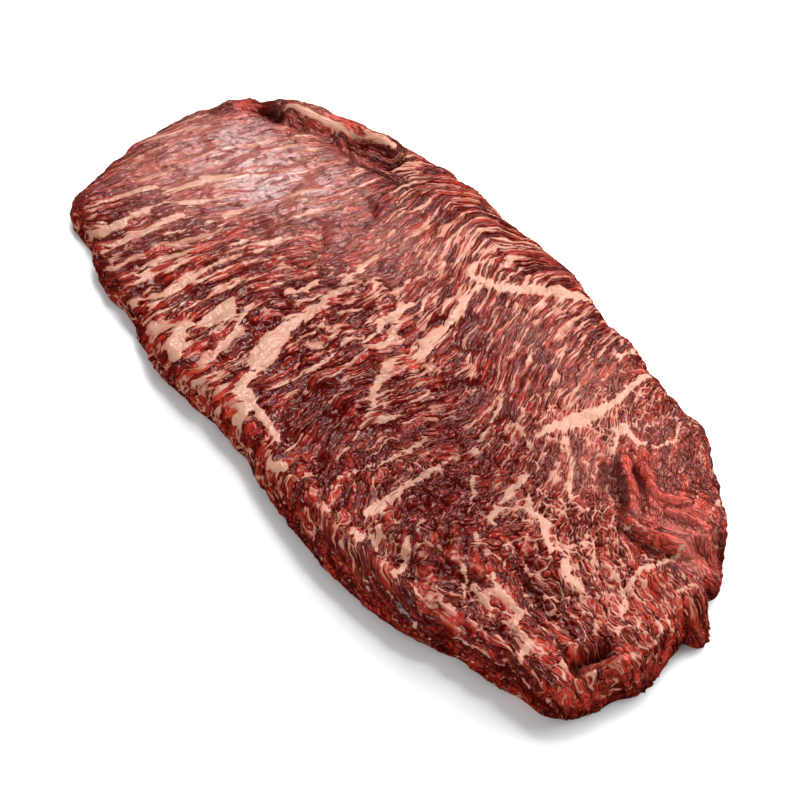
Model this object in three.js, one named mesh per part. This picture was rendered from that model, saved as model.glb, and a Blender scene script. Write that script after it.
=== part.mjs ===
// A raw flank steak lying flat: one solid with a domed, creased top, rounded walls and a flat underside.
// Sizes are in millimetres, with +Z up. The origin is on the surface the steak lies on, under its middle.
// +X runs along the steak from the thin end to the ragged end, and the meat's grain runs across it.

import * as THREE from 'three';

// Driving dimensions
const halfLength = 180;
const halfWidth = 86.5;
const thinEndHeight = 12;
const thickEndHeight = 24;

// Where along the steak the thickness starts and stops growing, and the least that the relief leaves of it
const taperFrom = -185;
const taperTo = 70;
const thinnest = 6;

// The wall: how far its round top (tighter at the ragged end) and its undercut foot reach in from the
// outline, and where it is widest
const shoulderReach = 9;
const raggedShoulderReach = 6;
const raggedFrom = 130;
const footReach = 4;
const widestShare = 0.38;

// The outline seen from above, anticlockwise from the ragged end
const raggedCorner = [
  [180.4, -14], [176.5, -1], [175, 7], [172, 12], [177, 16], [176, 21], [171, 23.5], [163, 30], [164, 38.5],
  [160, 43.5],
];
const farEdge = [
  [151, 49], [143, 56.5], [135, 61.5], [120, 69], [104, 78], [92, 77.5], [71, 78.5], [52, 82.5], [37, 82], [26, 84.5],
  [5, 86.5], [-18, 86], [-38, 82.5], [-60, 84], [-80, 80], [-100, 74.5], [-121, 69],
];
const thinEnd = [
  [-146, 59.5], [-164, 44.5], [-176, 24], [-180.6, 0], [-179, -21], [-172, -48], [-162, -69], [-151, -74],
];
const nearEdge = [
  [-124, -79], [-110, -82], [-91, -80.5], [-76, -84], [-58, -86.5], [-41, -84.5], [-21, -81.5], [-6, -80.5],
  [26, -83.5], [67, -83.5], [100, -78], [125, -67],
];
const raggedEnd = [[154, -57], [171, -51], [176.5, -38], [177.5, -27]];

// Raised flesh on the top: each runs along a short path and fades out at its reach
const rolls = [
  { path: [[-173, 22], [-166, 36], [-150, 48], [-130, 56], [-106, 66]], reach: 9, height: 2.6 },
  { path: [[98, 36], [108, 32], [118, 28]], reach: 6, height: 1.8 },
  { path: [[122, 18], [131, 21], [138, 26], [147, 29]], reach: 6, height: 2.4 },
  { path: [[108, 42], [120, 40], [131, 43], [141, 47]], reach: 6, height: 1.4 },
  { path: [[62, -77], [82, -74], [101, -70]], reach: 6, height: 1.6 },
  { path: [[83, -50], [92, -53], [99, -47], [96, -39]], reach: 6, height: 1.6 },
];

// Sunken lines and pits: the groove inside the rolled rim, the pocket, creases between bundles, the cavity
const creases = [
  { path: [[-168, 27], [-158, 34], [-147, 40], [-132, 46], [-115, 48]], reach: 7, height: -2.8 },
  { path: [[-163, 33], [-151, 33]], reach: 6, height: -2.6 },
  { path: [[-117, 54], [-106, 55], [-95, 58]], reach: 8, height: -5 },
  { path: [[-97, -10], [-101, -28], [-107, -42], [-110, -58], [-110, -78]], reach: 7.5, height: -2.6 },
  { path: [[-140, 14], [-139, 5], [-146, -14]], reach: 6, height: -1.2 },
  { path: [[-74, 35], [-70, 26]], reach: 6, height: -2.6 },
  { path: [[-80, 12], [-73, 6]], reach: 6, height: -2.6 },
  { path: [[12, -42], [21, -57], [33, -67]], reach: 6, height: -1.6 },
  { path: [[72, -27], [74, -44], [70, -58]], reach: 6, height: -2.6 },
  { path: [[102, 26], [113, 22], [121, 18]], reach: 7, height: -2.4 },
  { path: [[120, 27], [130, 30], [138, 35]], reach: 6, height: -2 },
  { path: [[126, -22], [142, -21], [157, -24]], reach: 6, height: -1.6 },
  { path: [[124, -35], [140, -33], [153, -30]], reach: 6, height: -1.6 },
  { path: [[74, -67], [90, -64], [104, -64]], reach: 6, height: -1.8 },
  { path: [[146, 24], [144, 8], [148, -2]], reach: 6, height: -1.2 },
  { path: [[165, -25], [165, -36]], reach: 6.5, height: -5 },
];

// Thinned edges: the two ragged flaps, the notch between them, and where the far edge droops
const droops = [
  { path: [[175, 17], [184, 20]], reach: 12, height: -13 },
  { path: [[157, 43], [166, 41]], reach: 11, height: -12 },
  { path: [[150, 34], [161, 33]], reach: 6, height: -8 },
  { path: [[-182, 6], [-178, -22]], reach: 8, height: -2 },
  { path: [[-122, 72], [-106, 74]], reach: 9, height: -2 },
  { path: [[14, 87], [44, 83]], reach: 10, height: -3.5 },
  { path: [[84, 80], [96, 79]], reach: 9, height: -2.5 },
];

// Swells of the muscle bundles: long across the steak, turning to run along it near the ragged end
const swellHeight = 0.9;
const swellWaves = 14;
const shortestWave = 10;
const longestWave = 62;
const stretch = 0.5;
const turnFrom = 65;
const turnTo = 110;

// Unevenness of the wall, and how far it leans along the wall with each degree up its round
const wallRoughness = 0.8;
const wallWaveScale = 0.8;
const wallLean = 0.1;

// Mesh density
const pointsRound = 200;
const ringSpacing = 4;
const innermostInset = 84;
const wallAngles = [-90, -55, -25, 0, 25, 48, 68];
const outlineSteps = 2000;

const goldenAngle = Math.PI * (3 - Math.sqrt(5));

const smoothstep = THREE.MathUtils.smoothstep;
const lerp = THREE.MathUtils.lerp;

function makeOutline() {
  const corners = [...raggedCorner, ...farEdge, ...thinEnd, ...nearEdge, ...raggedEnd];
  const curve = new THREE.CatmullRomCurve3(
    corners.map(([x, y]) => new THREE.Vector3(x, y, 0)), true, 'centripetal');
  curve.arcLengthDivisions = outlineSteps;
  return curve.getSpacedPoints(pointsRound).slice(0, pointsRound);
}

// Waves in golden-angle directions, which never line up: close to 0 on average, mostly within -1 to 1
function waves(x, y) {
  let sum = 0;
  for (let k = 0; k < swellWaves; k++) {
    const turn = k * goldenAngle;
    const length = lerp(shortestWave, longestWave, (k / (swellWaves - 1)) ** 2);
    const along = x * Math.cos(turn) + y * Math.sin(turn);
    sum += Math.sqrt(length / longestWave) * Math.sin(2 * Math.PI * along / length + k * k);
  }
  return sum * Math.sqrt(4 / swellWaves);
}

function bundleSwell(x, y) {
  const across = waves(x, y * stretch);
  const along = waves(x * stretch, y);
  return swellHeight * lerp(across, along, smoothstep(x, turnFrom, turnTo));
}

function distanceToPath(x, y, path) {
  let nearest = Infinity;
  for (let i = 0; i + 1 < path.length; i++) {
    const [ax, ay] = path[i];
    const [bx, by] = path[i + 1];
    const dx = bx - ax;
    const dy = by - ay;
    const t = THREE.MathUtils.clamp(((x - ax) * dx + (y - ay) * dy) / (dx * dx + dy * dy), 0, 1);
    nearest = Math.min(nearest, Math.hypot(x - ax - t * dx, y - ay - t * dy));
  }
  return nearest;
}

function featureHeight(x, y) {
  let sum = 0;
  for (const { path, reach, height } of [...rolls, ...creases, ...droops]) {
    const share = distanceToPath(x, y, path) / reach;
    if (share < 1) {
      sum += height * (1 - share * share) ** 2;
    }
  }
  return sum;
}

function thicknessAt(x, y) {
  const plain = lerp(thinEndHeight, thickEndHeight, smoothstep(x, taperFrom, taperTo));
  return Math.max(thinnest, plain + bundleSwell(x, y) + featureHeight(x, y));
}

// A point of the outline drawn in by inset, at a share of the local thickness
function insetPoint(p, inset, heightShare) {
  const x = p.x * (1 - inset / halfLength);
  const y = p.y * (1 - inset / halfWidth);
  return new THREE.Vector3(x, y, thicknessAt(x, y) * heightShare);
}

// The wall bulges to the outline at its widest and is uneven there; foot and shoulder are smooth
function wallRing(outline, degrees) {
  const angle = THREE.MathUtils.degToRad(degrees);
  const rise = degrees < 0 ? widestShare : 1 - widestShare;
  const heightShare = widestShare + rise * Math.sin(angle);
  return outline.map((p) => {
    const shoulder = lerp(shoulderReach, raggedShoulderReach, smoothstep(p.x, raggedFrom, halfLength));
    const reach = degrees < 0 ? footReach : shoulder;
    const uneven = waves((p.x + degrees * wallLean) * wallWaveScale, p.y * wallWaveScale);
    const inset = reach * (1 - Math.cos(angle)) + wallRoughness * Math.cos(angle) * uneven * uneven;
    return insetPoint(p, inset, heightShare);
  });
}

function buildRings(outline) {
  const rings = wallAngles.map((degrees) => wallRing(outline, degrees));
  for (let inset = shoulderReach; inset < innermostInset; inset += ringSpacing) {
    rings.push(outline.map((p) => insetPoint(p, inset, 1)));
  }
  return rings;
}

// Fills a ring by zipping its far and near sides together, from the ragged end to the thin end
function zipTriangles(ring) {
  const triangles = [];
  let far = 0;
  let near = ring.length - 1;
  while (near - far > 1) {
    if (ring[far + 1].x > ring[near - 1].x) {
      triangles.push([far, far + 1, near]);
      far += 1;
    } else {
      triangles.push([far, near - 1, near]);
      near -= 1;
    }
  }
  return triangles;
}

function stitch(rings) {
  const count = rings[0].length;
  const positions = rings.flat().flatMap((p) => [p.x, p.y, p.z]);
  const index = [];
  for (let r = 0; r + 1 < rings.length; r++) {
    for (let i = 0; i < count; i++) {
      const a = r * count + i;
      const b = r * count + ((i + 1) % count);
      index.push(a, b, b + count, a, b + count, a + count);
    }
  }
  const top = rings.length - 1;
  for (const [a, b, c] of zipTriangles(rings[0])) {
    index.push(c, b, a);
  }
  for (const [a, b, c] of zipTriangles(rings[top])) {
    index.push(a + top * count, b + top * count, c + top * count);
  }
  const geometry = new THREE.BufferGeometry();
  geometry.setAttribute('position', new THREE.Float32BufferAttribute(positions, 3));
  geometry.setIndex(index);
  geometry.computeVertexNormals();
  return geometry;
}

const steak = new THREE.Mesh(
  stitch(buildRings(makeOutline())),
  new THREE.MeshStandardMaterial({ color: 0x7f2f28, roughness: 0.4, metalness: 0 }),
);
steak.name = 'flank_steak';

const model = new THREE.Group();
model.add(steak);
export default model;
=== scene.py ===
"""A raw, heavily marbled flank steak lying on a plain pale floor.

Sizes are in millimetres until a mesh is made, and then in metres. The steak's grain runs across it at the
thin end and the middle, and turns to run along it near the ragged end. Every point of the steak keeps where
it lies on the spread-out skin (plan) and how far along and across the grain it is (grain), and both the
relief and the colours are worked out from those.
"""
import math
from types import SimpleNamespace

import bpy
import numpy as np
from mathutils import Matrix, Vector


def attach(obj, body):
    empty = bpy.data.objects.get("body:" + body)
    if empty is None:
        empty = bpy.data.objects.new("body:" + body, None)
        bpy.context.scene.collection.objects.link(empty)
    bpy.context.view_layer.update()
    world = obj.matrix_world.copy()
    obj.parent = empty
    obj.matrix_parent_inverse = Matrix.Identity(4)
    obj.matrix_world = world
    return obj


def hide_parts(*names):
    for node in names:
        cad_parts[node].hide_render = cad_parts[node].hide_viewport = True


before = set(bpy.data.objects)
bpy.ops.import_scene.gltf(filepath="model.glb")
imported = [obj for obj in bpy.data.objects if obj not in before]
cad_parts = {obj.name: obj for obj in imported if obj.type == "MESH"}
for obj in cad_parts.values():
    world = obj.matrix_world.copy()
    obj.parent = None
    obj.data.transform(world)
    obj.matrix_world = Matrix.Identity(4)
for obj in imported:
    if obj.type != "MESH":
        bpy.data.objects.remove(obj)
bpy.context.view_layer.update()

bl_info = {
    "name": "Flank steak",
    "version": (1, 0, 0),
    "blender": (4, 5, 0),
    "location": "3D View > Sidebar > Flank steak",
    "description": "Builds a raw, marbled flank steak on a pale floor",
    "category": "Object",
}

MM = 0.001
GOLDEN_ANGLE = math.pi * (3 - math.sqrt(5))

# The slab, as in its solid
HALF_LENGTH, HALF_WIDTH = 180.0, 86.5
THIN_END_HEIGHT, THICK_END_HEIGHT = 12.0, 24.0
TAPER_FROM, TAPER_TO = -185.0, 70.0
THINNEST = 6.0
SHOULDER_REACH, RAGGED_SHOULDER_REACH, RAGGED_FROM = 9.0, 6.0, 130.0
FOOT_REACH, WIDEST_SHARE = 4.0, 0.38
WALL_ROUGHNESS, WALL_WAVE_SCALE, WALL_LEAN = 0.8, 0.8, 0.1
SWELL_HEIGHT, SWELL_WAVES, SHORTEST_WAVE, LONGEST_WAVE = 0.9, 14, 10.0, 62.0
STRETCH, TURN_FROM, TURN_TO = 0.5, 65.0, 110.0

# The skin's mesh: squares along and across the top, the angles of the wall's rings, how many of the wall's
# edges meet one square of the underside, and how far in from the wall the underside's edge lies
COLUMNS, ROWS, COARSE, UNDERSIDE_INSET = 360, 176, 4, 1.5
WALL_ANGLES = [84, 78, 72, 66, 60, 54, 48, 42, 36, 30, 24, 18, 12, 6, 0, -8, -16, -26, -38, -53, -70, -90]

# How far down the skin the wall's flesh takes over from the top's, and how far up from the floor the relief
# comes to its full height
WALL_SKIN, FOOT_EASE = 8.0, 4.0

# Where the ribs of lean turn short towards the ragged end, and calm and long towards the thin end: how far
# that border slants, and where it starts and ends
SHORT_SLANT, SHORT_FROM, SHORT_TO = -0.25, 28.0, 58.0
CALM_SLANT, CALM_FROM, CALM_TO = 0.2, -95.0, -30.0

# The crease depth and the fold height that count as fully sunken and fully raised, where the painted shade
# in creases and fold hollows and the tint of fold tops reach full strength
DEEP_CREASE, HIGH_FOLD = 5.0, 2.5

# Sizes in the flesh, along its fibres and across them: muscle bundles and the long streaks of the calm part,
# strands of fat, ribs of lean, the gaps between clumps of ribs, swells, fibres and the grit on the ribs
BUNDLE, STREAK, STRAND = (15, 4.2), (36, 2.7), (10, 2.1)
RIB, SHORT_RIB, GAP, SHORT_GAP = (16, 2.1), (4.6, 1.75), (22, 4.5), (7.5, 5)
SWELL, FIBRE, GRIT = (14, 5), (8, 0.8), (4.5, 1.2)

# Sizes that follow the skin and not its fibres: how the fibres drift and wiggle, clumps, patches of colour,
# pebbles, the lumps of the wall and the round cells on them
DRIFT, WIGGLE, CLUMP, PATCH = (13, 13), (4.5, 4.5), (5.5, 5.5), (12, 12)
PEBBLE, LUMP, ROUND_CELL = (1.7, 1.7), (4.2, 4.2), (3.2, 3.2)

# How far the patterns are moved for the underside, so that it doesn't repeat the top
UNDERSIDE_SHIFT = 500

# What all the colour settings have in common
COLOUR = {"subtype": "COLOR", "size": 3, "min": 0, "max": 1}

# The studio, in metres: where the main light comes from, each other light's place, target and size, how
# bright the room is, and half the floor's side
KEY_FROM = (-0.2, 0.36, 0.91)
SHEEN_LIGHT = (-0.576, 0.311, 0.72), (-0.136, 0.0, 0), (0.42, 0.42)
FILL_LIGHT = (0.1, 0.0, 1.8), (0, 0, 0), (2.2, 2.2)
FRONT_LIGHT = (0.5, -1.1, 0.4), (0, 0, 0), (0.3, 0.3)
FAR_LIGHT = (0.15, 0.33, 0.25), (0.06, 0.02, 0), (0.5, 0.12)
ROOM_LIGHT, HALF_FLOOR = 0.25, 6.0

# The camera, at the photograph's viewing angle: degrees, mm of lens and sensor, and mm from what it looks at
AZIMUTH, ELEVATION, LENS, SENSOR = 55, 52, 100, 36
LOOKS_AT, DISTANCE = (15.2, -12.8, 10), 922

# The outline seen from above, anticlockwise from the ragged end
OUTLINE = [
    (180.4, -14), (176.5, -1), (175, 7), (172, 12), (177, 16), (176, 21), (171, 23.5), (163, 30),
    (164, 38.5), (160, 43.5), (151, 49), (143, 56.5), (135, 61.5), (120, 69), (104, 78), (92, 77.5),
    (71, 78.5), (52, 82.5), (37, 82), (26, 84.5), (5, 86.5), (-18, 86), (-38, 82.5), (-60, 84), (-80, 80),
    (-100, 74.5), (-121, 69), (-146, 59.5), (-164, 44.5), (-176, 24), (-180.6, 0), (-179, -21), (-172, -48),
    (-162, -69), (-151, -74), (-124, -79), (-110, -82), (-91, -80.5), (-76, -84), (-58, -86.5),
    (-41, -84.5), (-21, -81.5), (-6, -80.5), (26, -83.5), (67, -83.5), (100, -78), (125, -67), (154, -57),
    (171, -51), (176.5, -38), (177.5, -27),
]

# The four corners where the top's grid turns from one side of the steak to the next
NEAR_RAGGED, FAR_RAGGED, FAR_THIN, NEAR_THIN = (168, -52), (163, 41), (-152, 55), (-162, -69)

# Raised flesh: the points of a path, its reach and its height
ROLLS = [
    ([(-173, 22), (-166, 36), (-150, 48), (-130, 56), (-106, 66)], 9, 2.6),
    ([(98, 36), (108, 32), (118, 28)], 6, 1.8),
    ([(122, 18), (131, 21), (138, 26), (147, 29)], 6, 2.4),
    ([(108, 42), (120, 40), (131, 43), (141, 47)], 6, 1.4),
    ([(62, -77), (82, -74), (101, -70)], 6, 1.6),
    ([(83, -50), (92, -53), (99, -47), (96, -39)], 6, 1.6),
]

# Sunken lines and pits
CREASES = [
    ([(-168, 27), (-158, 34), (-147, 40), (-132, 46), (-115, 48)], 7, -2.8),
    ([(-163, 33), (-151, 33)], 6, -2.6),
    ([(-117, 54), (-106, 55), (-95, 58)], 8, -5),
    ([(-97, -10), (-101, -28), (-107, -42), (-110, -58), (-110, -78)], 7.5, -2.6),
    ([(-140, 14), (-139, 5), (-146, -14)], 6, -1.2),
    ([(-74, 35), (-70, 26)], 6, -2.6),
    ([(-80, 12), (-73, 6)], 6, -2.6),
    ([(12, -42), (21, -57), (33, -67)], 6, -1.6),
    ([(72, -27), (74, -44), (70, -58)], 6, -2.6),
    ([(102, 26), (113, 22), (121, 18)], 7, -2.4),
    ([(120, 27), (130, 30), (138, 35)], 6, -2),
    ([(126, -22), (142, -21), (157, -24)], 6, -1.6),
    ([(124, -35), (140, -33), (153, -30)], 6, -1.6),
    ([(74, -67), (90, -64), (104, -64)], 6, -1.8),
    ([(146, 24), (144, 8), (148, -2)], 6, -1.2),
    ([(165, -25), (165, -36)], 6.5, -5),
]

# Thinned edges: the ragged flaps, the notch between them, and where the far edge droops
DROOPS = [
    ([(175, 17), (184, 20)], 12, -13),
    ([(157, 43), (166, 41)], 11, -12),
    ([(150, 34), (161, 33)], 6, -8),
    ([(-182, 6), (-178, -22)], 8, -2),
    ([(-122, 72), (-106, 74)], 9, -2),
    ([(14, 87), (44, 83)], 10, -3.5),
    ([(84, 80), (96, 79)], 9, -2.5),
]

# Finer folds of the ragged end, which the solid leaves out
FOLDS = [
    ([(101, 36.5), (109.5, 32.2), (115.5, 29), (121.5, 26)], 3.6, 2.0),
    ([(102, 31.2), (111, 25.7), (119.3, 20.4)], 2.8, -2.0),
    ([(95, 30.6), (100, 29.7), (104, 28)], 2.6, 1.2),
    ([(106.5, 37.4), (112.7, 35.6), (119, 32), (122, 29)], 2.4, -2.2),
    ([(107, 40), (112, 39.3), (117.3, 38.3), (123.2, 38), (127.2, 40.7), (129.5, 45)], 3.0, 1.8),
    ([(125, 18), (129.4, 19.2), (135, 22.3), (140.5, 25.1), (149, 28.7)], 3.6, 2.2),
    ([(127, 23.5), (131.4, 26.5), (136.8, 29), (142, 33.5)], 2.6, 1.6),
    ([(128, 21.5), (134, 25), (139, 28.5)], 1.6, -1.0),
    ([(127, 13.5), (135.7, 17.4), (142, 21.3), (148, 24)], 3.2, -1.8),
    ([(129, 36.5), (133.8, 39.2), (139, 41.3), (144.5, 42.5)], 2.6, 1.6),
    ([(-170, 21), (-166, 28), (-162, 34.5), (-156, 38.5)], 3.0, 1.6),
    ([(-163, 26), (-157, 31), (-152, 35)], 3.6, -2.6),
    ([(-149, 40.5), (-140, 44.5), (-130, 48)], 6, 2.0),
    ([(-121, 50), (-112, 48.3), (-102, 47), (-92, 51), (-82, 54.8)], 2.4, 1.6),
    ([(166, -24), (165, -30), (164, -37)], 2.8, -5),
    ([(169, -24), (168, -30), (167, -36)], 3.0, 1.6),
    ([(161, -23), (160, -30), (160, -36)], 3.0, 1.2),
    ([(95, -17), (110, -17), (125, -18)], 2.2, -1.0),
    ([(100, -24.5), (125, -24), (150, -23)], 2.2, -1.0),
    ([(108, -31), (125, -31), (150, -32)], 2.4, -1.3),
    ([(62, -16), (69, -28), (73, -40), (79, -52), (85, -57)], 2.6, -1.4),
    ([(74, -29), (80, -30)], 5, 1.4),
    ([(84, -45), (92, -47)], 5, -1.8),
    ([(75, -42), (80, -51), (87, -55), (95, -54), (101, -48)], 2.0, 1.0),
    ([(73, -45), (78, -55), (87, -59), (97, -57), (104, -49)], 2.0, 0.9),
    ([(102, -38), (106, -41), (110, -43)], 3.0, 1.6),
    ([(112, -44), (118, -45)], 3, -1.3),
    ([(111, -50), (124, -50)], 3, -1.3),
    ([(134, -51), (140, -51)], 3, -1.1),
    ([(68, -47), (68, -55), (73, -61)], 3.5, 1.0),
]

# Cords whose fibres run along them, whatever the grain does around them: the points of a path and its reach
CORDS = [([(-172, 18), (-162, 34), (-149, 45), (-129, 53), (-115, 58), (-100, 64)], 7)]
CORDS += [(path, reach) for path, reach, height in FOLDS if height > 1.5]

# Lines that follow the meat's fibres, from the near edge or the ragged end to the far edge
GRAIN_LINES = [
    [(-176, -25), (-170, -10), (-163, 4), (-152, 16), (-140, 27), (-126, 38)],
    [(-174, 9), (-160, 23), (-146, 37), (-128, 47)],
    [(-168, -50), (-160, -34), (-151, -16), (-142, -2), (-137, 14), (-128, 30)],
    [(-158, -68), (-152, -50), (-145, -35), (-138, -18), (-130, -4), (-125, 12), (-116, 28)],
    [(-146, -77), (-138, -60), (-136, -45), (-132, -30), (-124, -15), (-117, 0), (-114, 15), (-107, 30)],
    [(-128, -80), (-124, -62), (-120, -45), (-118, -30), (-113, -15), (-109, 0), (-106, 15), (-99, 32)],
    [(-112, -82), (-111, -62), (-108, -48), (-102, -34), (-101, -16), (-98, -2), (-94, 12), (-88, 30),
     (-86, 48)],
    [(-88, -82), (-90, -62), (-92, -45), (-92, -30), (-90, -15), (-86, 0), (-82, 15), (-77, 32), (-76, 50)],
    [(-74, -84), (-76, -62), (-78, -45), (-77, -30), (-72, -15), (-68, 0), (-66, 14), (-66, 30), (-70, 50)],
    [(-48, -84), (-53, -62), (-60, -48), (-61, -30), (-57, -15), (-54, 0), (-54, 15), (-56, 30), (-64, 48)],
    [(-33, -82), (-32, -62), (-38, -48), (-41, -30), (-40, -15), (-37, 0), (-38, 15), (-43, 30),
     (-54, 46), (-66, 60)],
    [(-22, -80), (-18, -60), (-16, -44), (-14, -30), (-17, -15), (-16, 0), (-17, 15), (-23, 30),
     (-34, 48), (-46, 62)],
    [(-5, -80), (-5, -60), (-8, -44), (-5, -28), (-4, -14), (-1, 0), (-4, 16), (-9, 32), (-18, 48),
     (-28, 62)],
    [(12, -82), (10, -60), (5, -44), (5, -30), (9, -16), (14, -4), (13, 10), (8, 24), (-2, 42), (-12, 60)],
    [(36, -82), (32, -62), (26, -46), (24, -34), (31, -20), (38, -8), (40, 4), (34, 16), (22, 30), (8, 50)],
    [(60, -80), (52, -62), (44, -46), (42, -34), (47, -22), (53, -10)],
    [(82, -77), (70, -58), (62, -42), (58, -28), (55, -12), (53, 2)],
    [(98, -74), (88, -58), (80, -42), (76, -28), (71, -15)],
    [(168, -49), (136, -60), (112, -69), (88, -76)],
    [(170, -41), (138, -43), (112, -42), (98, -43)],
    [(174, -33), (142, -33), (114, -31), (94, -20), (81, -6), (70, 6)],
    [(178, -17), (142, -16), (118, -12), (96, -2), (78, 8), (58, 18), (40, 31), (25, 46), (13, 62), (4, 74)],
    [(176, 1), (147, 3), (121, 7), (104, 16), (86, 27), (66, 38), (52, 51), (42, 66), (38, 80)],
    [(176, 15), (150, 17), (132, 20), (116, 31), (100, 43), (86, 58), (75, 76)],
    [(163, 36), (146, 36), (132, 42), (118, 55), (106, 72)],
    [(148, 46), (134, 56), (116, 68)],
    [(-178, 4), (-172, 22), (-160, 38), (-146, 48), (-128, 56), (-108, 64), (-86, 68)],
    [(-110, 71), (-85, 77), (-60, 81), (-34, 79)],
    [(-28, 72), (-8, 78), (12, 80)],
]

# Seams of fat: each point of a path with the seam's width there
SEAMS = [
    [(-131, -4, 3), (-136, -14, 7), (-139, -25, 5), (-143, -34, 2)],
    [(-145, -34, 2), (-148, -46, 3.5), (-151, -60, 2.5)],
    [(-123, -20, 2), (-127, -28, 4.5), (-134, -36, 3), (-136, -48, 2.5), (-133, -58, 3.5),
     (-135, -69, 6.5), (-138, -77, 4)],
    [(-122, -34, 3), (-123, -46, 3.5), (-122, -58, 2), (-124, -66, 3), (-122, -76, 3)],
    [(-111, -32, 2), (-114, -42, 3.5), (-119, -51, 2)],
    [(-88, -35, 2), (-87, -46, 4.5), (-86, -60, 3.5), (-84, -70, 2), (-88, -79, 2.5)],
    [(-94, -9, 2), (-92, -20, 4), (-91, -28, 1.5)],
    [(-84, -7, 3), (-83, -20, 3.5)],
    [(-78, -55, 1.5), (-75, -64, 2.2), (-71, -74, 1.5)],
    [(-99, -49, 2), (-104, -58, 3), (-103, -69, 2)],
    [(-152, 43, 1), (-146, 46, 1.5), (-139, 49.5, 2.5), (-129, 52.4, 3.6), (-122, 54.5, 3), (-117, 58, 3)],
    [(-116, 61, 6), (-108, 62.6, 6), (-101, 65.4, 4)],
    [(-46, 10, 3), (-44, -4, 3.5), (-42, -15, 4), (-41, -26, 9), (-39, -34, 9), (-33, -44, 14),
     (-28, -54, 14)],
    [(-68, -42, 3), (-60, -50, 12), (-60, -60, 8), (-63, -68, 5), (-59, -75, 8), (-50, -81, 6)],
    [(-53, -7, 2), (-52, -15, 5), (-55, -23, 2.5)],
    [(-58, -38, 3), (-55, -45, 4), (-49, -52, 2.5), (-44, -64, 3)],
    [(-34, -17, 1.5), (-30, -22, 3), (-28, -28, 1.5)],
    [(-20, 3, 3), (-14, -2, 4), (-12, -11, 2)],
    [(-8, -1, 3), (-5, -9, 2)],
    [(-16, -19, 2), (-14, -28, 2.5), (-12, -40, 1.5), (-13, -56, 2)],
    [(5, -10, 4), (9, -17, 7), (14, -25, 4), (20, -29, 3), (26, -40, 1.5), (31, -49, 2.5), (33, -56, 1.5)],
    [(30, -17, 2), (29, -26, 4.5), (28, -32, 2)],
    [(46, -22, 4), (47, -31, 3), (45, -42, 1.5), (44, -52, 2), (42, -62, 1)],
    [(-24, -60, 5), (-21, -68, 9), (-10, -68, 6), (2, -69, 4), (12, -70, 4)],
    [(-12, -71, 6), (-8, -78, 8)],
    [(18, -79, 5), (24, -76, 6)],
    [(27, 77, 3), (20, 73, 6), (11, 67, 8), (5, 61, 7), (1, 55, 6), (-4, 51, 5), (-10, 49, 5), (-16, 46, 3)],
    [(-19, 57, 2), (-20, 52, 3), (-17, 47, 3)],
    [(-8, 46, 3), (-9, 40, 3), (-5, 33, 4), (0, 26, 6), (2, 17, 6), (4, 9, 8), (8, 2, 5)],
    [(-50, 36, 2), (-50, 25, 3), (-49, 14, 2.5), (-45, 5, 2.5)],
    [(-18, 16, 2), (-17, 6, 3.5), (-15, 0, 2)],
    [(36, 23, 1.5), (44, 18, 2.5), (50, 12, 2), (54, 5, 2)],
    [(84, 0, 2.5), (86, -8, 4.5), (89, -15, 4.5), (91, -20, 3), (93, -25, 2), (97, -24, 1.5)],
    [(92, -4, 3), (97, -9, 3.5), (104, -7, 3), (109, -10, 3), (115, -12.5, 3.5), (119, -14, 3),
     (121, -18, 1.5)],
    [(119, -11, 2), (124, -10.5, 2.5), (128, -14, 4), (133, -16, 4), (140, -15, 2)],
    [(70, -16, 1.5), (75, -20, 2.5), (80, -22, 2.5), (83, -27, 2), (86, -30, 1.5)],
    [(91, -31, 2), (96, -33, 3), (100, -36, 2.5), (103, -42, 1.5)],
    [(104, -46, 2), (110, -48, 3), (118, -48, 1.5), (126, -48, 2), (130, -52, 1.5)],
    [(75, -40, 1.5), (80, -49, 1.8), (84, -54, 1.5), (92, -56, 1.5), (98, -52, 1.2)],
    [(142, 0, 2), (150, -2, 2), (154, -8, 1.5)],
    [(56, 3, 2), (59, -4, 2.5), (62, -10, 1.5)],
    [(60, -20, 1.5), (61, -28, 3.5), (61, -40, 5), (62, -48, 6), (63, -55, 6), (62, -62, 5)],
    [(70, -60, 2), (74, -66, 6), (78, -68, 4)],
    [(81, -55, 2.5), (86, -60, 3.5), (91, -64, 3), (93, -70, 3)],
    [(111, -37, 1.5), (116, -39, 2.5), (122, -41, 3), (128, -40, 3.5), (134, -41, 4.5), (137, -44, 3)],
    [(146, -44, 2), (149, -49, 3.5), (150, -55, 2)],
    [(148, 27, 2), (148, 22, 3), (146, 17, 3.5), (144, 10, 3), (146, 5, 3), (148, 1, 3.5)],
    [(70, -71, 4.5), (72, -72, 4.5)],
    [(72, 71, 4), (73, 62, 4), (75, 53, 5), (76, 44, 6), (74, 35, 11), (71, 25, 6), (71, 14, 3)],
    [(57, 78, 3), (57, 69, 3)],
    [(92, 69, 1.5), (99, 66, 3), (104, 60, 2), (103, 52, 2), (97, 47, 3), (88, 46, 5)],
    [(88, 45, 4), (93, 38, 2), (97, 32, 2)],
    [(60, 12, 2), (68, 12, 2.5), (77, 9, 1.5)],
    [(134, 62, 2), (136, 55, 3), (139, 49, 2)],
    [(78, 24, 3), (90, 18, 3), (102, 8, 2)],
]
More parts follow.
